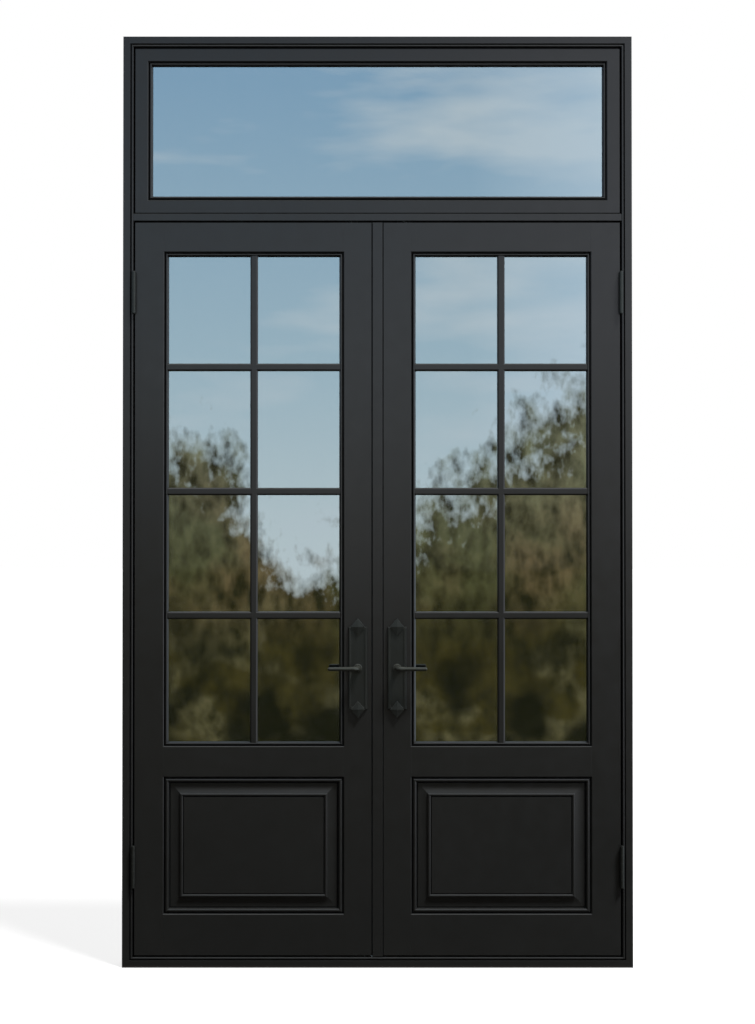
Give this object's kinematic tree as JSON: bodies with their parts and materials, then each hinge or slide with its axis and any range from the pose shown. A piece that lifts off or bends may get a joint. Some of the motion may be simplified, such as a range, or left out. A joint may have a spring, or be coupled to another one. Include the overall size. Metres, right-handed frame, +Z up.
{
  "type": "french doors",
  "caption": "Pair of outward-opening glazed and panelled doors with lever handles and shoot bolts, in a mitred frame with a fixed light above.",
  "frame": {"origin": "middle of the sill's underside, midway through the frame's depth", "axes": "+X to the right seen from outside, +Y into the building, +Z up"},
  "size_m": [1.694, 0.1706, 3.095],
  "materials": {
    "painted_timber": "satin black paint",
    "glass": "clear, mirror-like",
    "spacer": "black anodised",
    "gasket": "matt",
    "brush_pile": "woven pile",
    "black_hardware": "black satin",
    "bright_steel": "zinc plated"
  },
  "bodies": {
    "frame": {"bolt_keepers": "bright_steel", "gaskets": "gasket", "head_jamb": "painted_timber", "hinge_jamb_leaves": "black_hardware", "hinge_pins": "black_hardware", "left_jamb": "painted_timber", "right_jamb": "painted_timber", "sill": "painted_timber", "transom_bar": "painted_timber", "transom_beads": "painted_timber", "transom_panes": "glass", "transom_rails": "painted_timber", "transom_spacer": "spacer", "transom_stiles": "painted_timber"},
    "left_leaf": {"left_bottom_rail": "painted_timber", "left_glazing_beads": "painted_timber", "left_hinge_door_leaves": "black_hardware", "left_hinge_stile": "painted_timber", "left_inner_escutcheon": "black_hardware", "left_lock_case": "bright_steel", "left_lock_rail": "painted_timber", "left_lock_stile": "painted_timber", "left_muntins": "painted_timber", "left_outer_escutcheon": "black_hardware", "left_panel_mouldings": "painted_timber", "left_panes": "glass", "left_raised_panel": "painted_timber", "left_spacer": "spacer", "left_top_rail": "painted_timber"},
    "right_leaf": {"right_astragal": "painted_timber", "right_astragal_seal": "brush_pile", "right_bottom_rail": "painted_timber", "right_glazing_beads": "painted_timber", "right_hinge_door_leaves": "black_hardware", "right_hinge_stile": "painted_timber", "right_inner_escutcheon": "black_hardware", "right_lock_case": "bright_steel", "right_lock_rail": "painted_timber", "right_lock_stile": "painted_timber", "right_muntins": "painted_timber", "right_outer_escutcheon": "black_hardware", "right_panel_mouldings": "painted_timber", "right_panes": "glass", "right_raised_panel": "painted_timber", "right_spacer": "spacer", "right_top_rail": "painted_timber"},
    "left_lever_set": {"left_drive_gear": "bright_steel", "left_inner_lever": "black_hardware", "left_outer_lever": "black_hardware", "left_spindle": "bright_steel"},
    "right_lever_set": {"right_drive_gear": "bright_steel", "right_inner_lever": "black_hardware", "right_outer_lever": "black_hardware", "right_spindle": "bright_steel"},
    "left_top_bolt": {"left_top_bolt": "bright_steel"},
    "left_bottom_bolt": {"left_bottom_bolt": "bright_steel"},
    "right_top_bolt": {"right_top_bolt": "bright_steel"},
    "right_bottom_bolt": {"right_bottom_bolt": "bright_steel"}
  },
  "joints": [
    {"name": "left_leaf_swing", "type": "hinge", "parent": "frame", "child": "left_leaf", "pos_m": [-0.81, -0.0655, 1.289], "axis": [0, 0, -1], "range_deg": [0, 165]},
    {"name": "left_lever_lift", "type": "hinge", "parent": "left_leaf", "child": "left_lever_set", "pos_m": [-0.065, -0.03175, 0.992], "axis": [0, 1, 0], "range_deg": [0, 45]},
    {"name": "left_top_bolt_throw", "type": "slide", "parent": "left_leaf", "child": "left_top_bolt", "axis": [0, 0, 1], "range_m": [0, 0.0158]},
    {"name": "left_bottom_bolt_throw", "type": "slide", "parent": "left_leaf", "child": "left_bottom_bolt", "axis": [0, 0, -1], "range_m": [0, 0.0158]},
    {"name": "right_leaf_swing", "type": "hinge", "parent": "frame", "child": "right_leaf", "pos_m": [0.81, -0.0655, 1.289], "axis": [0, 0, 1], "range_deg": [0, 165]},
    {"name": "right_lever_lift", "type": "hinge", "parent": "right_leaf", "child": "right_lever_set", "pos_m": [0.065, -0.03175, 0.992], "axis": [0, -1, 0], "range_deg": [0, 45]},
    {"name": "right_top_bolt_throw", "type": "slide", "parent": "right_leaf", "child": "right_top_bolt", "axis": [0, 0, 1], "range_m": [0, 0.0158]},
    {"name": "right_bottom_bolt_throw", "type": "slide", "parent": "right_leaf", "child": "right_bottom_bolt", "axis": [0, 0, -1], "range_m": [0, 0.0158]}
  ],
  "couplings": [
    {"joint": "left_top_bolt_throw", "follows": "left_lever_lift", "m_per_rad": 0.02},
    {"joint": "left_bottom_bolt_throw", "follows": "left_lever_lift", "m_per_rad": 0.02},
    {"joint": "right_top_bolt_throw", "follows": "right_lever_lift", "m_per_rad": 0.02},
    {"joint": "right_bottom_bolt_throw", "follows": "right_lever_lift", "m_per_rad": 0.02}
  ]
}
